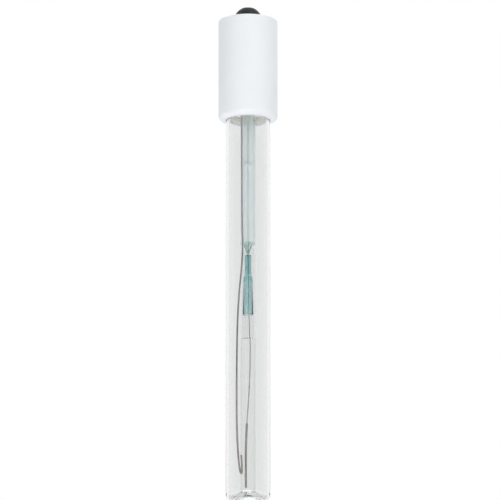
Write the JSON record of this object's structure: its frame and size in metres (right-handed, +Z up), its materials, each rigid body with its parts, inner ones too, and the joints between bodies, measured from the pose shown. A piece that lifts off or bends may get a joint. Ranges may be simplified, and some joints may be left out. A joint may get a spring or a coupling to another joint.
{
  "type": "ph electrode",
  "caption": "Combination pH electrode: a clear glass body with a bulb at its tip, an inner glass stem with coloured seal and wires, and a white cylindrical cap with a black cable gland.",
  "frame": {"origin": "on the electrode's axis, in the plane of the cap's underside, where it hangs in a holder", "axes": "+Z up along the electrode's axis towards the cap; the glass body hangs down along -Z; +Y is the side with the fill hole, -Y the side that faces the viewer"},
  "size_m": [0.016, 0.016, 0.1434],
  "materials": {
    "white_plastic": "smooth moulded, soft gloss",
    "black_rubber": "smooth, dull",
    "body_glass": "clear, drawn tube",
    "sensing_glass": "clear, thin, blown",
    "frit_ceramic": "porous, matt",
    "cement": "set cement, matt",
    "bung_rubber": "silicone rubber, matt",
    "resin": "cast resin, glossy",
    "solder": "bright solder",
    "pale_blue_sleeve": "translucent tubing",
    "teal_glass": "tinted sealing glass",
    "silver": "drawn wire",
    "silver_chloride": "dull grey-brown coat",
    "solution": "clear liquid"
  },
  "bodies": {
    "root": {"cap_shell": "white_plastic", "cable_gland": "black_rubber", "outer_tube": "body_glass", "junction_frit": "frit_ceramic", "stem_tube": "body_glass", "sensing_bulb": "sensing_glass", "cement_sleeve": "cement", "chamber_bung": "bung_rubber", "potting": "resin", "signal_joint": "solder", "reference_joint": "solder", "stem_stopper": "bung_rubber", "lead_sleeve": "pale_blue_sleeve", "bell_seal": "teal_glass", "inner_wire": "silver", "inner_chloride": "silver_chloride", "reference_wire": "silver", "reference_chloride": "silver_chloride", "inner_solution": "solution"}
  },
  "joints": []
}
